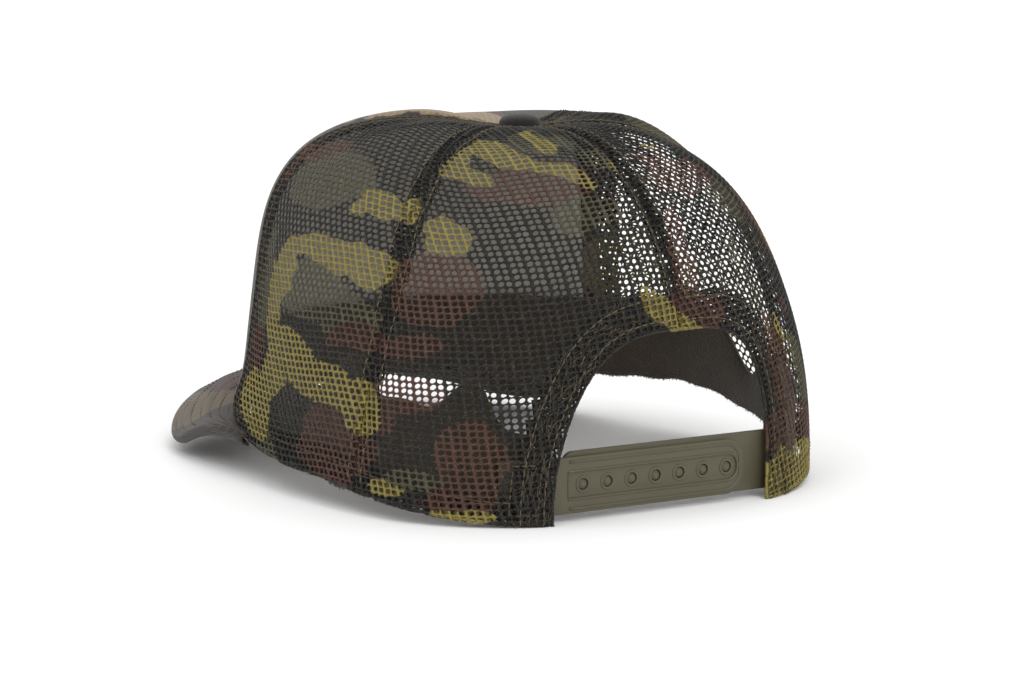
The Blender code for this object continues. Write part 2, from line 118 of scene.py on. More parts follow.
def soft(angle, up):
    """How far the cloth stands out from the plain form: shallow folds and sewn-in seams."""
    a = np.degrees(angle)
    a = (a + 180) % 360 - 180
    z = edge_height(angle) / MM + (124 - edge_height(angle) / MM) * profile(angle, up)[1]
    fold = 0.8 * np.sin(a * 0.11 + 6 * up) * np.exp(-((up - 0.62) / 0.2) ** 2)
    fold += 0.45 * np.sin(a * 0.21 - 9 * up + 1.0) * smooth(up, 0.05, 0.3) * (1 - smooth(up, 0.7, 0.9))
    pinch = 0
    for seam in (SIDE_SEAM, -SIDE_SEAM, 180, -180):
        pinch = pinch - 0.9 * np.exp(-((a - seam) / 3.2) ** 2) * smooth(up, 0.03, 0.12)
    ridge = 1.5 * np.exp(-((up - 0.66) / 0.045) ** 2) * np.exp(-((a - 138) / 26) ** 2)
    crest = 2.2 * smooth(a, 12, 34) * (1 - smooth(a, 50, 58)) * np.exp(-((up - 0.76) / 0.15) ** 2)
    crest = crest - 2.0 * np.exp(-((a + 75) / 28) ** 2) * np.exp(-((up - 0.80) / 0.10) ** 2)
    waists = np.exp(-((a - 62) / 16) ** 2) + np.exp(-((a + 140) / 20) ** 2)
    drawn_in = -2.0 * waists * np.exp(-((z - 68) / 26) ** 2)
    flare = 3.2 * np.exp(-((a - 57) / 9) ** 2) * np.exp(-((z - 24) / 9) ** 2)
    rear = smooth(np.abs(a), 64, 74)
    return (fold * 0.8 + ridge) * rear * MM + (pinch + crest + drawn_in + flare) * MM


def inside(angle, up, depth):
    """Points at a depth below the cloth's outer face; a negative depth is outside it."""
    angle, up = np.broadcast_arrays(np.asarray(angle, float), np.asarray(up, float))
    step = 1e-4
    across = crown(angle + step, up) - crown(angle - step, up)
    along = crown(angle, np.minimum(up + step, 1)) - crown(angle, up - step)
    normal = np.cross(across, along)
    normal /= np.linalg.norm(normal, axis=-1, keepdims=True)
    stand = soft(angle, up) - depth
    return crown(angle, up) + np.asarray(stand)[..., None] * normal


def up_at(angle, z):
    """The share of the way up a meridian at which the crown has height z."""
    lo, hi = np.zeros_like(angle * z), np.full_like(angle * z, 0.9)
    for _ in range(32):
        mid = (lo + hi) / 2
        below = crown(angle, mid)[..., 2] < z
        lo, hi = np.where(below, mid, lo), np.where(below, hi, mid)
    return (lo + hi) / 2


def arch(t, extra):
    """(angle, up) on a curve a distance outside the arch's edge, t from the corner to the top."""
    half, height = ARCH_HALF + extra, ARCH_HEIGHT + extra
    a = t * math.pi / 2
    z = height * np.sin(a) ** 0.7
    x = half * np.clip(np.cos(a), 0, 1) ** 0.62
    angle = np.full_like(t, math.pi)
    for _ in range(25):
        up = up_at(angle, z)
        r = plan_radius(angle) * profile(angle, up)[0]
        angle = math.pi - np.arcsin(np.clip(x / r, -1, 1))
    return angle, up


def in_arch(angle, up, extra):
    """True within a distance of the rear opening."""
    z = crown(angle, up)[..., 2]
    x = np.abs(plan_radius(angle) * profile(angle, up)[0] * np.sin(angle))
    s = np.clip(z / (ARCH_HEIGHT + extra), 0, 1) ** (1 / 0.7)
    half = (ARCH_HALF + extra) * (1 - s * s) ** 0.31
    return (z < ARCH_HEIGHT + extra) & (x < half) & (off_front(angle) > 90)


# ---------------------------------------------------------------- camouflage fields

# colour, degrees round from the front, height, half width, half height and tilt, in mm and degrees
PATCHES = [
    # left side panel and its seam
    ("brown", 70, 115, 23, 3.5, 4), ("brown", 62, 107, 4, 5, 0), ("olive", 84, 104, 28, 9.5, 0),
    ("black", 62, 95, 6, 9, 0), ("black", 106, 107, 9, 4, -12), ("black", 88, 92, 38, 4, -2),
    ("khaki", 105, 99, 12, 6.5, -10), ("khaki", 98, 95, 11, 3, 14), ("khaki", 114, 97, 5, 6, 0),
    ("khaki", 94, 84.5, 29, 5.4, -3), ("khaki", 109, 80, 9, 7.5, 0), ("khaki", 78, 77, 7, 10, 12),
    ("khaki", 74, 62, 7, 14, 14), ("khaki", 86, 48, 13, 7.5, -12), ("khaki", 96, 41, 17, 7, -14),
    ("khaki", 109, 36, 9, 7.5, -24), ("khaki", 70, 27, 15, 11, 0), ("khaki", 78, 39, 10, 10, 0),
    ("olive", 90, 70, 20, 9, 0), ("olive", 102, 64, 15, 6, 0), ("brown", 106, 57.5, 12, 4.6, 0),
    ("brown", 120, 57, 11, 3.6, 0), ("brown", 66, 45, 7, 9, 0), ("black", 82, 24, 7, 9, 0),
    ("brown", 100, 22, 20, 11, 0), ("olive", 76, 14, 7, 5, 0), ("brown", 119, 41, 12, 5.5, 8),
    ("brown", 115, 34, 5, 6, 0), ("olive", 66, 70, 6, 18, 0),
    # left rear panel
    ("khaki", 123.5, 90, 10.5, 5.6, -6), ("khaki", 127, 109, 12, 2.4, 0), ("khaki", 121, 113, 6, 4.5, 40),
    ("khaki", 134, 115.5, 18, 2.0, -9), ("khaki", 150, 111, 18, 1.5, -14),
    ("khaki", 160, 107.5, 8, 1.6, -24),
    ("khaki", 150, 118, 12, 2.2, -10), ("khaki", 176, 111, 3, 1.6, 0), ("khaki", 116, 10, 6, 2.4, 0),
    ("khaki", 132, 4, 11, 2.2, 0), ("brown", 124, 76, 14, 11, 0), ("brown", 145, 107, 28, 5.4, 0),
    ("brown", 133, 19, 9, 15, 14), ("brown", 131, 8, 10, 7, 0), ("olive", 158, 97, 16, 5, 0),
    ("olive", 122, 14, 9, 3, 0),
    ("brown", 158, 42, 4, 6, 30), ("olive", 153, 118, 24, 3, 0), ("olive", 170, 113, 10, 3, 0),
    # back seam, right rear panel and right corner
    ("khaki", 177, 65, 13, 3.6, -36), ("khaki", 205, 114, 3, 1.2, 0), ("khaki", 209, 6.5, 22, 9.5, 0),
    ("brown", 185, 66, 9, 6, 0), ("brown", 185, 82, 5, 15, -12), ("brown", 198, 106, 15, 6, 0),
    ("brown", 212, 107, 8, 5, 0), ("olive", 214, 96, 12, 9, 0), ("black", 214, 76, 12, 12, 0),
    ("brown", 216, 80, 3, 4, 0), ("brown", 207, 49, 6, 14, 0), ("olive", 216, 44, 6, 9, 0),
    ("brown", 210, 21, 20, 8, 0), ("brown", 206, 34, 5, 9, 0), ("olive", 217, 34, 9, 6, 0),
    ("khaki", 212, 56, 2.5, 5, 0),
    ("olive", 204, 82, 6, 8, 0), ("brown", 219, 62, 3, 4, 0),
    # top of the front panel
    ("khaki", 26, 121.5, 50, 7.5, 0), ("black", 51, 119, 8, 2, 0), ("black", 42, 122.8, 11, 1.3, 0),
    ("brown", 14, 108, 20, 5, 0), ("khaki", 350, 121, 14, 4, 0), ("brown", 335, 120, 26, 4, 0),
    ("black", 312, 119, 16, 4, 0), ("olive", 296, 117, 16, 5, 0), ("black", 76, 121.5, 22, 3.4, 0),
    ("brown", 246, 110, 22, 5, 0), ("olive", 264, 116, 18, 5, 0), ("brown", 284, 112, 14, 6, 0),
]
COLOURS = ("khaki", "brown", "olive")


def waves(points, seed, size, count=14):
    """A smooth pseudo-random field with hills about size across, about -1 to 1."""
    rng = np.random.default_rng(seed)
    way = rng.normal(size=(count, 3))
    pitch = (2 * math.pi / size) * rng.uniform(0.55, 1.35, count)
    way *= pitch[:, None] / np.linalg.norm(way, axis=1)[:, None]
    return np.sin(points @ way.T + rng.uniform(0, 6.28, count)).sum(1) / math.sqrt(count / 2) / 1.6


def camo_fields(points):
    """Strength of khaki, brown and olive at each point; black is what is left."""
    p = points.copy()
    angle = np.degrees(np.arctan2(p[:, 0], -p[:, 1])) % 360
    z = p[:, 2] / MM
    stir = [1.7 * waves(p, 21 + k, 30 * MM) + 1.1 * waves(p, 31 + k, 13 * MM)
            + 0.5 * waves(p, 41 + k, 6 * MM) for k in range(2)]
    squash = p * [1, 1, 1.7]
    general = np.stack([waves(squash, 3, 62 * MM) - 0.12, waves(squash, 5, 60 * MM) + 0.02,
                        waves(squash, 8, 66 * MM) + 0.10], 1) * 0.8 + 0.33
    drawn = np.zeros((len(p), 4))
    for colour, at, height, wide, tall, tilt in PATCHES:
        dx = ((angle - at + 180) % 360 - 180) * 1.55 + stir[0]
        dz = z - height + 0.7 * stir[1]
        c, s = math.cos(math.radians(tilt)), math.sin(math.radians(tilt))
        value = np.exp(-0.7 * (((dx * c + dz * s) / wide) ** 2 + ((dz * c - dx * s) / tall) ** 2))
        k = (COLOURS + ("black",)).index(colour)
        drawn[:, k] = np.maximum(drawn[:, k], value)
    drawn[:, :3] -= 0.75 * drawn[:, 3:4]
    seen = smooth(angle, 40, 48) * (1 - smooth(angle, 218, 230))
    seen = np.maximum(seen, smooth(z, 96, 106))
    return general * (1 - seen)[:, None] + drawn[:, :3] * seen[:, None]


def paint(mesh):
    points = np.empty(len(mesh.vertices) * 3)
    mesh.vertices.foreach_get("co", points)
    points = points.reshape(-1, 3)
    for name, values in (("camo", camo_fields(points)), ("rest", points)):
        layer = mesh.attributes.new(name, "FLOAT_VECTOR", "POINT")
        layer.data.foreach_set("vector", values.astype(np.float32).ravel())


# ---------------------------------------------------------------- materials

def srgb(r, g, b, gain=1.0):
    """A linear colour from 0-255 display values."""
    def one(c):
        c = c / 255
        return min(1.0, gain * (c / 12.92 if c <= 0.04045 else ((c + 0.055) / 1.055) ** 2.4))
    return (one(r), one(g), one(b), 1)


class Nodes:
    """A short way to build a node material."""

    def __init__(self, name, roughness=0.8, sheen=0.0):
        self.mat = bpy.data.materials.new(name)
        self.mat.use_nodes = True
        self.tree = self.mat.node_tree
        self.bsdf = self.tree.nodes["Principled BSDF"]
        self.bsdf.inputs["Roughness"].default_value = roughness
        self.bsdf.inputs["Sheen Weight"].default_value = sheen
        self.bsdf.inputs["Specular IOR Level"].default_value = 0.3

    def put(self, socket, value):
        if isinstance(value, bpy.types.NodeSocket):
            self.tree.links.new(value, socket)
        else:
            socket.default_value = value

    def node(self, kind, inputs=(), **settings):
        node = self.tree.nodes.new(kind)
        for key, value in settings.items():
            setattr(node, key, value)
        for key, value in dict(inputs).items():
            self.put(node.inputs[key], value)
        return node

    def math(self, operation, a, b=0.0, c=0.0):
        return self.node("ShaderNodeMath", {0: a, 1: b, 2: c}, operation=operation).outputs[0]

    def noise(self, vector, scale, detail=2.0, rough=0.5, distort=0.0):
        return self.node("ShaderNodeTexNoise", {"Vector": vector, "Scale": scale, "Detail": detail,
                                                "Roughness": rough, "Distortion": distort}).outputs[0]

    def mix(self, factor, a, b, blend="MIX"):
        node = self.node("ShaderNodeMix", data_type="RGBA", blend_type=blend)
        self.put(node.inputs[0], factor)
        self.put(node.inputs[6], a)
        self.put(node.inputs[7], b)
        return node.outputs[2]

    def rest(self):
        return self.node("ShaderNodeAttribute", attribute_name="rest").outputs["Vector"]

    def step(self, value, edge, width):
        node = self.node("ShaderNodeMapRange", {"Value": value, "From Min": edge - width,
                                                "From Max": edge + width})
        return node.outputs[0]

    def bump(self, height, strength, distance):
        node = self.node("ShaderNodeBump", {"Height": height, "Strength": strength, "Distance": distance})
        self.put(self.bsdf.inputs["Normal"], node.outputs[0])

    def colour(self, value):
        self.put(self.bsdf.inputs["Base Color"], value)


def camo_colour(m, gain=1.0, tan=(152, 138, 72), black=(15, 16, 19)):
    fields = m.node("ShaderNodeAttribute", attribute_name="camo").outputs["Vector"]
    split = m.node("ShaderNodeSeparateXYZ", {0: fields}).outputs
    rest = m.rest()
    wobble = m.math("MULTIPLY", m.math("SUBTRACT", m.noise(rest, 170, 3, 0.55), 0.5), 0.3)
    colour = srgb(*black, gain)
    for k, shade in ((2, (80, 77, 58)), (1, (84, 52, 44)), (0, tan)):
        value = m.math("ADD", split[k], wobble)
        colour = m.mix(m.step(value, 0.44, 0.02), colour, srgb(*shade, gain))
    tone = m.noise(rest, 240, 2)
    return m.mix(m.math("MULTIPLY", tone, 0.22), colour, srgb(60, 54, 44, gain)), rest


def camo_mesh(name, gain=1.0):
    m = Nodes(name, 0.55, 0.05)
    m.bsdf.inputs["Specular IOR Level"].default_value = 0.22
    colour, rest = camo_colour(m, gain)
    knit = m.noise(rest, 2100, 3, 0.7, 2.0)
    glint = m.math("MULTIPLY", m.step(knit, 0.60, 0.07), 0.34)
    # painted shade: where the knit noise, which also sets the bump's height, is low, the strands are darkened
    # towards black
    hollow_shade = m.math("MULTIPLY", m.step(m.math("SUBTRACT", 1.0, knit), 0.58, 0.07), 0.7)
    colour = m.mix(hollow_shade, colour, (0.006, 0.006, 0.006, 1))
    m.colour(m.mix(glint, colour, srgb(168, 160, 134)))
    m.bump(knit, 0.8, 0.0005)
    return m.mat


def camo_twill(name, gain=1.0, tan=(150, 130, 98), black=(34, 32, 30)):
    m = Nodes(name, 0.85, 0.2)
    colour, rest = camo_colour(m, gain, tan, black)
    turned = m.node("ShaderNodeMapping", {0: rest, "Rotation": (0.4, 0.75, 0.6)}).outputs[0]
    rib = m.node("ShaderNodeTexWave", {"Vector": turned, "Scale": 210, "Distortion": 1.2, "Detail": 2.0,
                                       "Detail Scale": 2.0}, wave_type="BANDS").outputs[1]
    fibre = m.noise(rest, 1900, 3, 0.6)
    weave = m.math("ADD", m.math("MULTIPLY", rib, 0.7), m.math("MULTIPLY", fibre, 0.6))
    m.colour(m.mix(m.math("MULTIPLY", weave, 0.3), colour, srgb(26, 23, 19)))
    m.bump(weave, 0.55, 0.00035)
    return m.mat


def cloth(name, shade, other, fibre=1200, strength=0.5, sheen=0.4, stretch=(1, 1, 1)):
    m = Nodes(name, 0.92, sheen)
    where = m.node("ShaderNodeMapping", {0: m.rest(), "Scale": stretch}).outputs[0]
    broad = m.noise(where, 90, 3, 0.6)
    fine = m.noise(where, fibre, 3, 0.65)
    colour = m.mix(broad, srgb(*shade), srgb(*other))
    m.colour(m.mix(m.math("MULTIPLY", fine, 0.35), colour, srgb(*[c * 0.5 for c in shade])))
    m.bump(m.math("ADD", fine, m.math("MULTIPLY", broad, 0.5)), strength, 0.0006)
    return m.mat


def plastic(name, shade, other):
    m = Nodes(name, 0.42)
    where = m.node("ShaderNodeTexCoord").outputs["Object"]
    broad = m.noise(where, 60, 2)
    grain = m.noise(where, 3200, 2)
    m.colour(m.mix(m.math("MULTIPLY", broad, 0.8), srgb(*shade), srgb(*other)))
    m.put(m.bsdf.inputs["Roughness"], m.math("ADD", 0.36, m.math("MULTIPLY", grain, 0.2)))
    m.bsdf.inputs["Specular IOR Level"].default_value = 0.5
    m.bump(grain, 0.12, 0.0002)
    return m.mat


def metal(name):
    m = Nodes(name, 0.35)
    where = m.node("ShaderNodeTexCoord").outputs["Object"]
    m.bsdf.inputs["Metallic"].default_value = 1.0
    m.colour(m.mix(m.noise(where, 900, 3), srgb(176, 176, 172), srgb(128, 128, 126)))
    m.bump(m.noise(where, 2600, 2), 0.1, 0.0002)
    return m.mat


MESH = camo_mesh("camo_mesh_print")
# painted shade: the same mesh print at 0.7 of its brightness, for the doubled seams and hems
MESH_DOUBLE_SHADED = camo_mesh("camo_mesh_inner", 0.7)
TWILL = camo_twill("camo_twill_print")
VISOR_TWILL = camo_twill("visor_twill_print", 0.75, (108, 90, 64), (52, 43, 35))
THREAD = cloth("khaki_thread", (118, 102, 70), (84, 73, 50), 2600, 0.4, 0.2)
FRAY = cloth("frayed_thread", (104, 88, 62), (60, 50, 38), 2600, 0.4, 0.2)
BAND = cloth("brushed_sweatband", (50, 40, 29), (86, 72, 54), 900, 1.0, 0.5, (1, 1, 2))
FOAM = cloth("grey_foam", (200, 195, 186), (178, 173, 164), 1500, 0.5, 0.2)
BOARD = cloth("pressed_board", (190, 180, 156), (172, 160, 138), 700, 0.3, 0.0)
BUTTON = cloth("button_cloth", (40, 33, 30), (28, 23, 21), 2200, 0.6, 0.2)
PLASTIC = plastic("olive_plastic", (83, 79, 60), (73, 69, 52))
TIN = metal("tinplate")


# ---------------------------------------------------------------- builders

def piece(name, verts, faces, mat, nodes=()):
    """A painted, smooth-shaded object that stands for the named CAD nodes."""
    mesh = bpy.data.meshes.new(name)
    mesh.from_pydata([tuple(v) for v in verts], [], [tuple(f) for f in faces])
    mesh.update()
    ob = bpy.data.objects.new(name, mesh)
    bpy.context.scene.collection.objects.link(ob)
    mesh.materials.append(mat)
    paint(mesh)
    mesh.shade_smooth()
    if nodes:
        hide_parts(*nodes)
    return ob


def grid_faces(rows, cols, base=0, flip=False):
    """Quads of a grid of points."""
    out = []
    for r in range(rows - 1):
        for c in range(cols - 1):
            a = base + r * cols + c
            quad = (a, a + 1, a + cols + 1, a + cols)
            out.append(quad[::-1] if flip else quad)
    return out


def shell(outer, inner):
    """Vertices and faces of a closed cloth between two grids of points."""
    rows, cols = outer.shape[:2]
    n = rows * cols
    verts = np.concatenate([outer.reshape(-1, 3), inner.reshape(-1, 3)])
    faces = grid_faces(rows, cols) + grid_faces(rows, cols, n, True)
    rim = [c for c in range(cols)] + [r * cols + cols - 1 for r in range(1, rows)]
    rim += [(rows - 1) * cols + c for c in range(cols - 2, -1, -1)]
    rim += [r * cols for r in range(rows - 2, 0, -1)]
    for a, b in zip(rim, rim[1:] + rim[:1]):
        faces.append((b, a, n + a, n + b))
    return verts, faces


def settle(ob, body):
    """Attaches the piece to its body's empty; a piece of the left or right corner keeps its place with its
    transform applied.
    """
    if body in ("left", "right"):
        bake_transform(ob)
    else:
        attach(ob, body)


def lattice(name, centre, keep, clamp, depth, body, nodes, mat, phase=(0.0, 0.0), width=2.8, rise=2.15,
            hole=(2.0, 1.7), thick=0.4, up_range=(0.0, APEX), tilt=0.24):
    """Knitted mesh on the crown: one hole to a cell, with rounded strands between.

    centre is the meridian, in degrees, along which the cloth's columns run. keep says which cells
    are part of the piece and clamp pulls stray points back to its edges. Sizes are in mm and tilt is
    how far each row is shifted, in cells.
    """
    wide, tall = width * MM, rise * MM
    mid = math.radians(centre)
    ups = np.linspace(0, 1, 700)
    line = crown(np.full_like(ups, mid), ups)
    length = np.concatenate([[0], np.cumsum(np.linalg.norm(np.diff(line, axis=0), axis=1))])
    round_ = np.linalg.norm(crown(mid + 0.01, ups) - crown(mid - 0.01, ups), axis=-1) / 0.02

    def locate(s, t):
        """Distances across and along the cloth to (angle, up)."""
        t = t + 0.10 * s
        up = np.interp(t, length, ups)
        up = np.where(t < 0, t / length[-1] * 1.4, up)
        return mid + s / np.interp(up, ups, round_), up

    def centre_of(i, j):
        return (i + phase[0] - tilt * j) * wide, (j + phase[1]) * tall

    rows = int(length[-1] / tall) + 14
    cols = int(0.085 / wide) + 14
    i, j = np.meshgrid(np.arange(-cols, cols + 1), np.arange(-12, rows), indexing="ij")
    i = i + np.round(tilt * j).astype(int)
    angle, up = locate(*centre_of(i, j))
    good = keep(angle, up) & (up > up_range[0] - 0.004) & (up < up_range[1])
    i, j = i[good], j[good]
    n = len(i)
    # corner and side points are shared with the next cell
    around = np.array([(-1, -1), (0, -1), (1, -1), (1, 0), (1, 1), (0, 1), (-1, 1), (-1, 0)])
    keys = np.stack([2 * i[:, None] + around[None, :, 0],
                     2 * j[:, None] + around[None, :, 1]], -1).reshape(-1, 2)
    unique, index = np.unique(keys, axis=0, return_inverse=True)
    index = index.reshape(n, 8)
    turn = np.array([225, 270, 315, 0, 45, 90, 135, 180]) * math.pi / 180
    rng = np.random.default_rng(hash_name(name))
    size = rng.uniform(0.9, 1.08, (n, 1))
    s0, t0 = centre_of(i, j)
    pair = np.where(i % 2 == 0, 0.13, -0.13) * MM
    s_hole = (s0 + pair + rng.normal(0, 0.05 * MM, n))[:, None]
    s_hole = s_hole + hole[0] / 2 * MM * np.cos(turn)[None, :] * size
    t_hole = (t0 + rng.normal(0, 0.05 * MM, n))[:, None] + hole[1] / 2 * MM * np.sin(turn)[None, :] * size
    t_hole = t_hole + 0.12 * (s_hole - s0[:, None]) * np.where(i % 2 == 0, 1, -1)[:, None]
    a_out, u_out = clamp(*locate(*centre_of(unique[:, 0] / 2.0, unique[:, 1] / 2.0)))
    a_hole, u_hole = clamp(*locate(s_hole.ravel(), t_hole.ravel()))
    # the cloth is thickest where four cells meet
    node = ((unique[:, 0] % 2 != 0) & (unique[:, 1] % 2 != 0)).astype(float)
    lift = (0.06 + 0.13 * node) * MM
    verts = np.concatenate([inside(a_out, u_out, depth - lift),
                            inside(a_hole, u_hole, depth + thick / 2 * MM),
                            inside(a_out, u_out, depth + thick * MM + lift)])
    m = len(unique)
    faces = []
    ring = m + np.arange(n * 8).reshape(n, 8)
    low = index + m + n * 8
    for k in range(8):
        k2 = (k + 1) % 8
        faces.append(np.stack([index[:, k], index[:, k2], ring[:, k2], ring[:, k]], 1))
        faces.append(np.stack([ring[:, k], ring[:, k2], low[:, k2], low[:, k]], 1))
    ob = piece(name, verts, np.concatenate(faces).tolist(), mat, nodes)
    settle(ob, body)
    return ob


def hash_name(name):
    """A fixed seed from a piece's name."""
    return sum((k + 1) * ord(c) for k, c in enumerate(name))


def tube_faces(rings, sides, closed=False):
    """Faces of a tube of rings, capped at both ends unless it closes on itself."""
    faces = []
    for r in range(rings if closed else rings - 1):
        a, b = r * sides, ((r + 1) % rings) * sides
        faces += [(a + k, a + (k + 1) % sides, b + (k + 1) % sides, b + k) for k in range(sides)]
    if not closed:
        faces += [tuple(range(sides))[::-1], tuple((rings - 1) * sides + k for k in range(sides))]
    return faces


def frames(points):
    """Directions along a path and two across it."""
    along = np.gradient(points, axis=0)
    along /= np.linalg.norm(along, axis=1, keepdims=True)
    side = np.cross(along, np.array([0.13, 0.21, 0.97]))
    side /= np.linalg.norm(side, axis=1, keepdims=True)
    return along, side, np.cross(side, along)


def stitches(name, paths, body, length=2.7, gap=0.45, radius=0.21, mat=None):
    """Rows of single stitches, each a short thread that dips into the cloth at both ends."""
    verts, faces = [], []
    for path, normal in paths:
        step = np.linalg.norm(np.diff(path, axis=0), axis=1)
        total = np.concatenate([[0], np.cumsum(step)])
        count = int(total[-1] / ((length + gap) * MM))
        for k in range(count):
            at = (k * (length + gap) + np.linspace(0, length, 5)) * MM
            line = np.stack([np.interp(at, total, path[:, c]) for c in range(3)], 1)
            lift = np.stack([np.interp(at, total, normal[:, c]) for c in range(3)], 1)
            lift /= np.linalg.norm(lift, axis=1, keepdims=True)
            rise = np.array([-0.35, 0.1, 0.22, 0.1, -0.35]) * MM
            line = line + lift * rise[:, None]
            along = np.gradient(line, axis=0)
            along /= np.linalg.norm(along, axis=1, keepdims=True)
            side = np.cross(along, lift)
            thick = np.array([0.5, 0.9, 1, 0.9, 0.5]) * radius * MM
            base = len(verts)
            for p, s, u, r in zip(line, side, lift, thick):
                for q in range(6):
                    a = q * math.pi / 3
                    verts.append(p + r * (math.cos(a) * s + math.sin(a) * u))
            faces += [tuple(base + v for v in f) for f in tube_faces(5, 6)]
    ob = piece(name, verts, faces, mat or THREAD, ())
    settle(ob, body)
    return ob


def on_crown(angle, up, depth=-0.05):
    """A path on the cloth with its outward direction."""
    path = inside(angle, up, depth * MM)
    normal = inside(angle, up, (depth - 1) * MM) - path
    return path, normal / np.linalg.norm(normal, axis=1, keepdims=True)


# ---------------------------------------------------------------- mesh panels, seams and hems

def between(lo, hi):
    """Keep and clamp functions for a cloth between two meridians, in degrees."""
    lo, hi = math.radians(lo), math.radians(hi)
    slack = 0.004

    def keep(angle, up):
        return (angle > lo - slack) & (angle < hi + slack)

    def clamp(angle, up):
        return np.clip(angle, lo, hi), np.maximum(up, 0.0)

    return keep, clamp


def outside_arch(keep, extra=0.4 * MM):
    """Keeps only the cells that are clear of the rear opening."""
    return lambda angle, up: keep(angle, up) & ~in_arch(angle, np.maximum(up, 0), extra)


def to_arch(clamp, extra=0.1 * MM):
    """Also pulls points that fall inside the rear opening out to its edge."""
    def pull(angle, up):
        angle, up = clamp(angle, up)
        middle = math.copysign(math.pi, angle.mean())
        low, high = np.zeros_like(angle), np.full_like(angle, 0.6)
        loose = in_arch(angle, up, extra)
        rise = np.where(up < 0.25, 0.0, 1.0)
        for _ in range(14):
            k = (low + high) / 2
            within = in_arch(middle + (angle - middle) * (1 + k), up * (1 + k * rise), extra)
            low, high = np.where(within, k, low), np.where(within, high, k)
        k = np.where(loose, high, 0.0)
        return clamp(middle + (angle - middle) * (1 + k), up * (1 + k * rise))
    return pull


for word, side in (("left", 1), ("right", -1)):
    lo, hi = sorted((side * FRONT_SEAM, side * SIDE_SEAM))
    keep, clamp = between(lo, hi)
    lattice(f"{word}_side_mesh", (lo + hi) / 2, keep, clamp, 0, "crown", [f"{word}_side_panel"],
            MESH, hole=(2.0, 1.7) if side > 0 else (2.2, 1.84), tilt=0.42)
    lo, hi = sorted((side * SIDE_SEAM, side * 180))
    keep, clamp = between(lo, hi)
    lattice(f"{word}_rear_mesh", (lo + hi) / 2, outside_arch(keep), to_arch(clamp), 0, word,
            [f"{word}_rear_panel"], MESH, hole=(2.0, 1.7) if side > 0 else (2.15, 1.8))


def band_keep(at, half, lean=0):
    """A strip of constant width along a meridian."""
    centre = math.radians(at)

    def limits(up):
        r = plan_radius(np.full_like(up, centre)) * profile(np.full_like(up, centre), np.clip(up, 0, 1))[0]
        h = np.minimum(half * MM / np.maximum(r, 1 * MM), math.radians(15))
        return centre + h * (lean - 1), centre + h * (lean + 1)

    def keep(angle, up):
        lo, hi = limits(up)
        return (angle > lo) & (angle < hi)

    def clamp(angle, up):
        lo, hi = limits(up)
        return np.clip(angle, lo, hi), np.maximum(up, 0.0)

    return keep, clamp


def seam(name, at, first, body="crown", lean=0, half=4.4):
    """A folded strip of mesh up a meridian, with a row of stitches along each side."""
    keep, clamp = band_keep(at, half, lean)
    lattice(f"{name}_mesh", at, keep, clamp, 1.0 * MM, body, [name], MESH_DOUBLE_SHADED, (0.37, 0.45),
            up_range=(first, 0.93), hole=(1.1, 0.95))
    ups = np.linspace(max(first, 0.01), 0.94, 160)
    mid = math.radians(at)
    r = plan_radius(np.full_like(ups, mid)) * profile(np.full_like(ups, mid), ups)[0]
    paths = []
    for way in (-1, 1):
        off = np.minimum(3.6 * MM / r, math.radians(13))
        stray = 0.25 * MM / r * np.sin(ups * 60 + way)
        paths.append(on_crown(mid + (way + lean) * off + stray, ups))
    stitches(f"{name}_stitching", paths, body)


top_up = arch(np.array([1.0]), ARCH_HEM)[1]
for word, side in (("left", 1), ("right", -1)):
    seam(f"{word}_front_seam", side * FRONT_SEAM, 0.02, lean=side)
    seam(f"{word}_side_seam", side * SIDE_SEAM, 0.02)
seam("back_seam", 180.0, float(top_up[0]) - 0.01)

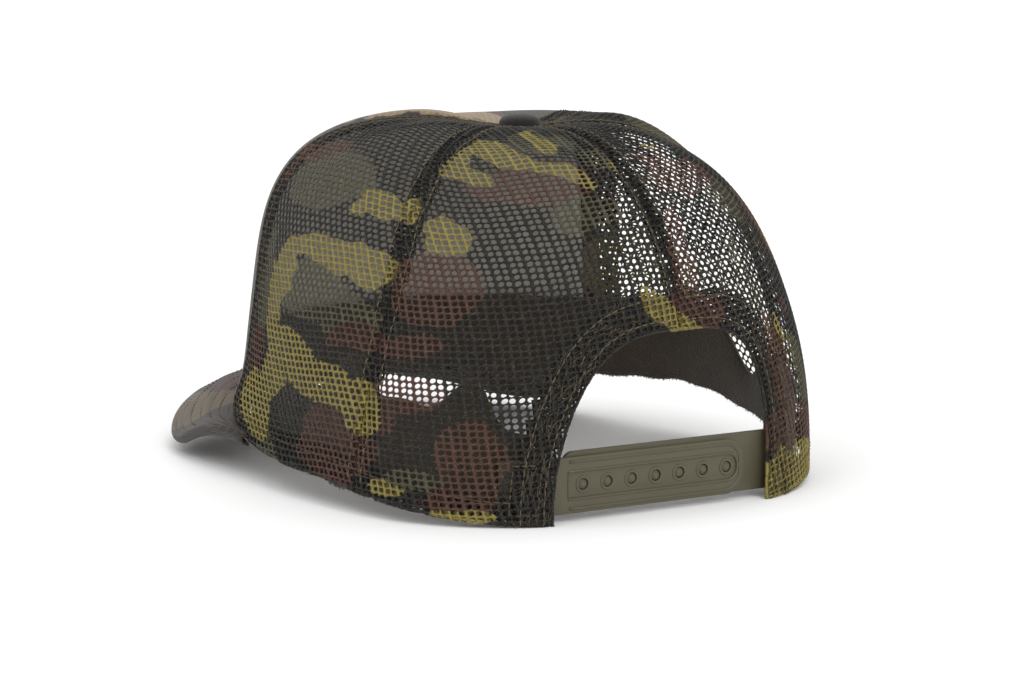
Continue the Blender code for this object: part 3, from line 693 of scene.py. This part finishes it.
for word, side in (("left", 1), ("right", -1)):
    lo, hi = sorted((side * SIDE_SEAM, side * 180))
    base_keep, clamp = between(lo, hi)

    def arch_band(angle, up, base_keep=base_keep):
        u = np.maximum(up, 0)
        return base_keep(angle, up) & in_arch(angle, u, ARCH_HEM) & ~in_arch(angle, u, 0.5 * MM)

    lattice(f"{word}_arch_hem_mesh", (lo + hi) / 2, arch_band, to_arch(clamp, 0.3 * MM), 1.0 * MM,
            word, [f"{word}_arch_hem"], MESH_DOUBLE_SHADED, (0.5, 0.5), hole=(1.15, 1.0))
    low = side * np.radians(FRONT_SEAM + 3)
    high = side * float(arch(np.array([0.0]), 1 * MM)[0][0])
    angle = np.linspace(low, high, 160)

    def low_band(angle, up, base_keep=between(*sorted((side * (FRONT_SEAM + 3), side * 168)))[0]):
        z = crown(angle, np.maximum(up, 0))[..., 2]
        near_edge = z < edge_height(angle) + 10 * MM
        return base_keep(angle, up) & near_edge & ~in_arch(angle, np.maximum(up, 0), 1 * MM)

    lattice(f"{word}_lower_hem_mesh", side * 112, low_band, between(-180, 180)[1], 1.0 * MM, word,
            [f"{word}_lower_hem"], MESH_DOUBLE_SHADED, (0.5, 0.25), up_range=(0, 0.2), hole=(1.15, 1.0))
    t = np.linspace(0.0, 0.999, 150)
    rows = []
    for extra in (3.2, 10.2):
        a, u = arch(t, extra * MM)
        rows.append(on_crown(side * a, u))
    hem_up = up_at(angle, edge_height(angle) + 7.5 * MM)
    inside_hem = ~in_arch(angle, hem_up, 10 * MM)
    stitches(f"{word}_arch_stitching", rows, word)
    stitches(f"{word}_lower_stitching", [on_crown(angle[inside_hem], hem_up[inside_hem])], word,
             radius=0.17, mat=FRAY)

    # the folded edge: a soft roll of cloth round the arch and along the lower edge
    def roll(name, angle, up, body, radius=0.55):
        path = inside(angle, up, 0.75 * MM)
        path = path + RNG.normal(0, 0.05 * MM, path.shape)
        _, across, over = frames(path)
        rings = len(path)
        verts = []
        for k in range(rings):
            wob = 1 + 0.12 * math.sin(k * 1.7) + 0.08 * math.sin(k * 0.61)
            verts += [path[k] + radius * MM * wob * (math.cos(q * math.pi / 4) * across[k]
                                                     + math.sin(q * math.pi / 4) * over[k]) for q in range(8)]
        ob = piece(name, verts, tube_faces(rings, 8), MESH, ())
        settle(ob, body)

    a, u = arch(np.linspace(0, 1, 180), 0.4 * MM)
    roll(f"{word}_arch_fold", side * a, u, word)
    edge = np.linspace(side * math.radians(FRONT_SEAM), high, 220)
    roll(f"{word}_lower_fold", edge, np.full_like(edge, 0.004), word)


# ---------------------------------------------------------------- front panel, lining and sweatband

def wavy_shell(name, a0, a1, ups, depth, thick, mat, cols, body, nodes, bulge=0.0):
    angle = np.radians(np.linspace(a0, a1, cols))[None, :]
    up = ups(angle) if callable(ups) else np.broadcast_to(ups[:, None], (len(ups), cols))
    angle = np.broadcast_to(angle, up.shape)
    outer = inside(angle, up, depth - bulge)
    verts, faces = shell(outer, inside(angle, up, depth + thick))
    ob = piece(name, verts, faces, mat, nodes)
    settle(ob, body)
    return ob


front_ups = np.linspace(0, APEX, 90)
wavy_shell("front_twill", -FRONT_SEAM + 0.1, FRONT_SEAM - 0.1, front_ups, 0, 0.8 * MM, TWILL, 120, "crown",
           ["front_panel"])
lining = wavy_shell("front_foam", -LINING_EDGE, LINING_EDGE, np.linspace(0.01, 0.93, 50), 1.2 * MM,
                    2.4 * MM, FOAM, 60, "crown", ["front_lining"])


def band_low(angle):
    """The sweatband's lower edge, raw and slightly wavy."""
    a = np.degrees(angle)
    wave = 0.35 * np.sin(a * 0.53) + 0.4 * np.sin(a * 0.21 + 1)
    return edge_height(angle) + (1.0 + wave) * MM


def band_depth(angle):
    """How far inside the cloth the sweatband lies: deepest where the straps pass behind it."""
    a = np.abs(np.degrees(angle))
    return (5.6 - 2.4 * smooth(a, 66, 90) * (1 - smooth(a, 132, 148))) * MM


def hanging(angle):
    """How far the sweatband's lower edge shows below the crown's, where there is room above the floor."""
    a = np.degrees(angle)
    side = 0.6 + 1.6 * smooth(np.abs(a), 25, 50)
    return (side * smooth(edge_height(angle), 3 * MM, 9 * MM) + 3.2 * np.exp(-((a + 33) / 7) ** 2)) * MM


def band_high(angle):
    """The sweatband's upper edge, with the rises and the one dip that the photograph shows."""
    a = np.degrees(angle)
    near = 14 * np.exp(-((a - 106) / 6) ** 2) + 5 * np.exp(-((a - 122) / 8) ** 2)
    near = near + 16 * np.exp(-((a - 136) / 5.5) ** 2) - 16 * np.exp(-((a + 103) / 7) ** 2)
    return edge_height(angle) + (29 + near) * MM


for word, side in (("left", 1), ("right", -1)):
    corner = math.degrees(float(arch(np.array([0.0]), ARCH_HEM)[0][0])) + 3
    lo, hi = sorted((side * 0.05, side * corner))
    angle = np.radians(np.linspace(lo, hi, 170))[None, :]
    row = np.linspace(0, 1, 16)[:, None]
    up = up_at(angle, band_low(angle)) * (1 - row) + up_at(angle, band_high(angle)) * row
    angle = np.broadcast_to(angle, up.shape)
    sag = np.abs(np.degrees(angle))
    bow = (1.0 * np.sin(row * math.pi) + 0.6 * np.sin(sag * 0.16) * (1 - row)
           + 3.0 * np.exp(-((sag - 126) / 5) ** 2) * (1 - 0.6 * row)) * MM
    hang = hanging(angle) * (1 - row) ** 1.5
    deep = band_depth(angle)
    outer, inner = inside(angle, up, deep + bow), inside(angle, up, deep + 1.3 * MM + bow)
    outer[..., 2] -= hang
    inner[..., 2] -= hang
    verts, faces = shell(outer, inner)
    ob = piece(f"{word}_band", verts, faces, BAND, [f"{word}_sweatband"])
    settle(ob, word)
    # loose fibres along the band's raw lower edge
    count = 6000
    at = np.radians(RNG.uniform(lo, hi, count))
    root_up = up_at(at, band_low(at) + RNG.uniform(-0.2, 1.5, count) * MM)
    off = np.abs(np.degrees(at))
    root_bow = 0.6 * np.sin(off * 0.16) + 3.0 * np.exp(-((off - 126) / 5) ** 2)
    roots = inside(at, root_up, band_depth(at) + (RNG.uniform(-0.1, 1.5, count) + root_bow) * MM)
    roots[:, 2] -= hanging(at)
    verts, faces = [], []
    for root in roots:
        way = Vector((RNG.normal(0, 0.8), RNG.normal(0, 0.8), -1.0 + RNG.normal(0, 0.45))).normalized()
        length = RNG.uniform(0.3, 1.1) * MM
        base = len(verts)
        for share, r in ((0, 0.10), (0.5, 0.09), (1, 0.04)):
            q = Vector(root) + way * length * share
            q += Vector((RNG.normal(0, 0.2), RNG.normal(0, 0.2), RNG.normal(0, 0.1))) * MM * share
            verts += [q + Vector((r * math.cos(w), r * math.sin(w), 0)) * MM for w in (0, 2.1, 4.2)]
        faces += [tuple(base + v for v in f) for f in tube_faces(3, 3)]
    ob = piece(f"{word}_band_fibres", verts, faces, BAND, ())
    settle(ob, word)


def frayed(name, paths, body, count, spread=1.6):
    """Short loose threads lying along rows of stitching."""
    verts, faces = [], []
    for path, normal in paths:
        for k in RNG.integers(2, len(path) - 3, count):
            along = path[k + 1] - path[k - 1]
            along /= np.linalg.norm(along)
            side = np.cross(along, normal[k])
            length = RNG.uniform(1.5, 5.0) * MM
            lean, start = RNG.normal(0, 0.35), RNG.normal(0, spread) * MM
            bend, height = RNG.normal(0, 0.5) * MM, RNG.uniform(0.0, 0.45) * MM
            base = len(verts)
            for share in (0.0, 0.33, 0.66, 1.0):
                q = path[k] + along * (share - 0.5) * length * math.cos(lean) + side * (
                    start + (share - 0.5) * length * math.sin(lean) + bend * share * share * 2)
                q = q + normal[k] * (height + 0.25 * MM * math.sin(share * 3.1))
                verts += [q + 0.10 * MM * (math.cos(w) * side + math.sin(w) * normal[k])
                          for w in (0, 2.1, 4.2)]
            faces += [tuple(base + v for v in f) for f in tube_faces(4, 3)]
    ob = piece(name, verts, faces, FRAY, ())
    settle(ob, body)


for word, side in (("left", 1), ("right", -1)):
    rows = []
    for extra in (3.2, 5.5, 8.0, 10.2):
        a, u = arch(np.linspace(0.0, 0.999, 150) ** 1.5, extra * MM)
        rows.append(on_crown(side * a, u))
    frayed(f"{word}_arch_fray", rows, word, 45, 0.7)

# ---------------------------------------------------------------- visor

def visor(u, w):
    """The visor's middle surface: u runs from side to side and w from the crown to the rim."""
    u, w = np.broadcast_arrays(np.asarray(u, float), np.asarray(w, float))
    angle = u * math.radians(VISOR_SPAN)
    root = crown(angle, np.zeros_like(angle) + 2e-4)
    outward = np.stack([np.sin(angle), -np.cos(angle), np.zeros_like(angle)], -1)
    root = root + 0.3 * MM * outward
    c, s = np.clip(np.cos(u * math.pi / 2), 0, 1), np.sin(u * math.pi / 2)
    tip = np.abs(s) ** VISOR_TIP_POWER
    rim = np.stack([VISOR_HALF * np.sign(s) * np.abs(s) ** 0.95,
                    -VISOR_ROOT - (VISOR_REACH - VISOR_ROOT) * c ** 0.72,
                    VISOR_LOW + VISOR_RISE * c ** VISOR_RISE_POWER + VISOR_TIP * tip], -1)
    blend = tip[..., None]
    rim[..., 2:] = rim[..., 2:] * (1 - blend) + root[..., 2:] * blend
    point = root + (rim - root) * w[..., None]
    point[..., 2] += VISOR_BOW * np.sin(w * math.pi) * c
    return point


def visor_normals(points):
    """Upward normals of a grid of points."""
    normal = np.cross(np.gradient(points, axis=1), np.gradient(points, axis=0))
    normal /= np.linalg.norm(normal, axis=-1, keepdims=True) + 1e-12
    return normal * np.sign(normal[..., 2:] + 1e-9)


VISOR_ROWS = (0.16, 0.30, 0.44, 0.58, 0.72, 0.85, 0.94)      # stitching, as shares of the reach


def visor_skin(name, above, mat, nodes):
    """One cover: a sheet that curls half way round the board's rim."""
    cols, flat, curl = 150, 34, 7
    u = np.linspace(-1, 1, cols)[None, :]
    w = np.linspace(0, 0.985, flat)[:, None]
    mid = visor(u, w)
    normal = visor_normals(mid)
    half = 1.9 * MM
    rib = np.zeros_like(w)
    for at in VISOR_ROWS:
        rib = rib - 0.2 * MM * np.exp(-((w - at) / 0.012) ** 2)
    rib = rib + 0.1 * MM * np.sin(u * 37 + w * 20)
    sign = 1 if above else -1
    body = mid + normal * (sign * (half + rib))[..., None]
    rim = visor(u, np.array([[0.985]]))[0]
    outer = visor(u, np.array([[1.0]]))[0]
    out = outer - rim
    out /= np.linalg.norm(out, axis=-1, keepdims=True) + 1e-9
    last = normal[-1]
    turned = []
    for k in range(1, curl + 1):
        a = math.pi / 2 * k / curl
        turned.append(rim + last * sign * half * math.cos(a) + out * half * 1.15 * math.sin(a))
    grid = np.concatenate([body, np.array(turned)])
    inner = np.concatenate([mid + normal * sign * 1.25 * MM,
                            np.array([rim + last * sign * 1.25 * MM * math.cos(math.pi / 2 * k / curl)
                                      + out * 1.4 * MM * math.sin(math.pi / 2 * k / curl)
                                      for k in range(1, curl + 1)])])
    verts, faces = shell(grid, inner)
    ob = piece(name, verts, faces, mat, nodes)
    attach(ob, "crown")
    return ob


def visor_board():
    """The board between the covers, kept clear of their curled rim."""
    mid = visor(np.linspace(-0.93, 0.93, 120)[None, :], np.linspace(0.05, 0.95, 30)[:, None])
    half = visor_normals(mid) * 0.9 * MM
    verts, faces = shell(mid + half, mid - half)
    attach(piece("visor_core", verts, faces, BOARD, ["visor_board"]), "crown")


visor_board()
visor_skin("visor_top_twill", True, VISOR_TWILL, ["visor_top_cover"])
visor_skin("visor_under_twill", False, VISOR_TWILL, ["visor_under_cover"])
rows = []
u = np.linspace(-0.985, 0.985, 260)
for at in VISOR_ROWS:
    for sign in (1, -1):
        near = visor(u[None, :], np.array([[at - 0.01], [at], [at + 0.01]]))
        normal = visor_normals(near)[1]
        rows.append((near[1] + normal * sign * 1.62 * MM, normal * sign))
stitches("visor_stitching", rows, "crown", length=2.2, gap=0.6, radius=0.2,
         mat=cloth("visor_thread", (66, 56, 42), (52, 44, 33), 2600, 0.3, 0.1))


# ---------------------------------------------------------------- button

def lathe(name, profile_points, mat, at, nodes, steps=64, dent=0.0):
    """A round piece from (radius, height) points, with a slightly uneven edge."""
    verts, faces = [], []
    for k in range(steps):
        a = 2 * math.pi * k / steps
        for r, z in profile_points:
            wob = 1 + dent * math.sin(5 * a + 80 * z / MM * 0.1)
            verts.append((at[0] + r * wob * math.cos(a), at[1] + r * wob * math.sin(a), at[2] + z))
    n = len(profile_points)
    for k in range(steps):
        b = ((k + 1) % steps) * n
        faces += [(k * n + i, b + i, b + i + 1, k * n + i + 1) for i in range(n - 1)]
    ob = piece(name, verts, faces, mat, nodes)
    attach(ob, "crown")
    return ob


top_z = float(crown(0.0, 1.0)[2])
dome = [(7.3 * math.sin(a) ** 0.9 * MM, (0.6 + 3.9 * math.cos(a) ** 0.75) * MM)
        for a in np.linspace(0.02, math.pi / 2, 22)]
tuck = [(7.45 * MM, 0.2 * MM), (7.1 * MM, -0.3 * MM), (6.4 * MM, -0.5 * MM), (1.4 * MM, -0.4 * MM)]
lathe("button_cloth_cover", dome + tuck, BUTTON, (0, 0, top_z), ["button_cover"], dent=0.006)


# ---------------------------------------------------------------- snap strap

def smooth_copy(node, name, mat):
    """The strap's own solid with rounded edges."""
    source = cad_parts[node]
    mesh = source.data.copy()
    ob = bpy.data.objects.new(name, mesh)
    bpy.context.scene.collection.objects.link(ob)
    ob.matrix_world = source.matrix_world.copy()
    work = bmesh.new()
    work.from_mesh(mesh)
    bmesh.ops.remove_doubles(work, verts=work.verts, dist=1e-6)
    bmesh.ops.dissolve_limit(work, angle_limit=math.radians(2), verts=work.verts, edges=work.edges)
    edges = [e for e in work.edges if len(e.link_faces) == 2 and e.calc_face_angle(0) > math.radians(35)]
    bmesh.ops.bevel(work, geom=edges, offset=0.16 * MM, offset_type="OFFSET", segments=2, profile=0.5,
                    affect="EDGES", clamp_overlap=True)
    bmesh.ops.triangulate(work, faces=[f for f in work.faces if len(f.verts) > 4])
    work.to_mesh(mesh)
    work.free()
    mesh.materials.clear()
    mesh.materials.append(mat)
    mesh.shade_smooth()
    mesh.set_sharp_from_angle(angle=math.radians(40))
    paint(mesh)
    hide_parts(node)
    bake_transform(ob)
    return ob


def in_strap(x, y, z):
    """A point given along, out of and up the strap, in world coordinates."""
    c, s = math.cos(STRAP_TURN), math.sin(STRAP_TURN)
    return (x * c - y * s, x * s + y * c, z)


smooth_copy("outer_strap", "socket_strap", PLASTIC)
smooth_copy("inner_strap", "stud_strap", PLASTIC)


def bead(name, outline, radius, closed):
    """A raised line moulded on the outer strap's face, from (x, z) points in the strap's frame."""
    points = np.array([in_strap(x * MM, STRAP_FACE - 0.08 * MM, STRAP_Z + z * MM) for x, z in outline])
    out = np.array(in_strap(0, 1, 0))
    along = np.gradient(points, axis=0)
    along /= np.linalg.norm(along, axis=1, keepdims=True)
    across = np.cross(along, out)
    verts = [p + radius * MM * (math.cos(k * math.pi / 4) * out + math.sin(k * math.pi / 4) * s)
             for p, s in zip(points, across) for k in range(8)]
    ob = piece(name, verts, tube_faces(len(points), 8, closed), PLASTIC, ())
    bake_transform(ob)


def around_tip(root_x, tip_x, half, radius):
    """(x, z) points in mm along the strap's top edge, round its tip and back along the bottom."""
    points = [(root_x + (tip_x + radius - root_x) * k / 12, half) for k in range(12)]
    for k in range(17):
        a = math.pi / 2 * k / 16
        points.append((tip_x + radius - radius * math.sin(a), half - radius + radius * math.cos(a)))
    below = [(x, -z) for x, z in points[::-1]]
    return points + below


bead("strap_border", around_tip(34.5, -32.4, 7.7, 5.8), 0.5, False)
channel = around_tip(34.9, -31.6, 4.55, 4.2)
channel += [(34.9, -4.55 + 9.1 * k / 6) for k in range(1, 6)]
bead("strap_channel_rim", channel, 0.45, True)

for word, side in (("left", 1), ("right", -1)):
    loops = []
    corners = [(44.5, 4), (52, 4), (52, 20), (44.5, 20), (44.5, 4)]
    for (x0, z0), (x1, z1) in zip(corners, corners[1:]):
        x = np.linspace(x0, x1, 24) * MM
        z = np.linspace(z0, z1, 24) * MM
        a = side * (math.pi - np.arcsin(x / plan_radius(np.full_like(x, math.pi))))
        loops.append(on_crown(a, up_at(a, z), -0.3))
    ob = stitches(f"{word}_strap_tacking", loops, word, length=2.0, gap=0.5, radius=0.22, mat=FRAY)
    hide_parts(f"{word}_strap_stitching")
for node in ("button_shell", "button_washer"):
    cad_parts[node].data.materials.clear()
    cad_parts[node].data.materials.append(TIN)


# ---------------------------------------------------------------- floor, light and camera

def add_stage():
    half = 15.0
    mesh = bpy.data.meshes.new("studio_floor")
    corners = [(-half, -half, 0), (half, -half, 0), (half, half, 0), (-half, half, 0)]
    mesh.from_pydata(corners, [], [(0, 1, 2, 3)])
    ob = bpy.data.objects.new("studio_floor", mesh)
    bpy.context.scene.collection.objects.link(ob)
    m = Nodes("studio_white", 0.9)
    m.colour(m.mix(m.noise(m.node("ShaderNodeTexCoord").outputs["Object"], 2.0), (0.93, 0.93, 0.93, 1),
                   (0.95, 0.95, 0.95, 1)))
    m.bsdf.inputs["Specular IOR Level"].default_value = 0.0
    mesh.materials.append(m.mat)


def sun(name, azimuth, elevation, spread, strength):
    """A distant softbox; azimuth is measured as for the camera."""
    light = bpy.data.lights.new(name, "SUN")
    light.energy, light.angle = strength, math.radians(spread)
    ob = bpy.data.objects.new(name, light)
    a, e = math.radians(azimuth), math.radians(elevation)
    back = Vector((math.sin(a) * math.cos(e), -math.cos(a) * math.cos(e), math.sin(e)))
    ob.location = back * 3
    ob.rotation_euler = back.to_track_quat("Z", "Y").to_euler()
    bpy.context.scene.collection.objects.link(ob)


add_stage()
sun("key_softbox", 168, 32, 40, 1.35)
sun("top_softbox", 130, 80, 70, 0.75)
sun("left_softbox", 80, 35, 60, 0.45)
sun("front_softbox", -40, 40, 60, 0.45)
world = bpy.data.worlds.new("studio")
world.use_nodes = True
world.node_tree.nodes["Background"].inputs[0].default_value = (1, 1, 1, 1)
world.node_tree.nodes["Background"].inputs[1].default_value = 0.6
bpy.context.scene.world = world
bpy.context.scene.view_settings.view_transform = "Standard"

AZIMUTH, ELEVATION, DISTANCE = math.radians(142), math.radians(8.5), 1.0
TARGET = Vector((0.0022, -0.0017, 0.045))
camera = bpy.data.cameras.new("camera")
camera.lens, camera.sensor_width = 100.2, 36.0
eye = bpy.data.objects.new("camera", camera)
back = Vector((math.sin(AZIMUTH) * math.cos(ELEVATION), -math.cos(AZIMUTH) * math.cos(ELEVATION),
               math.sin(ELEVATION)))
eye.location = TARGET + back * DISTANCE
eye.rotation_euler = back.to_track_quat("Z", "Y").to_euler()
bpy.context.scene.collection.objects.link(eye)
bpy.context.scene.camera = eye
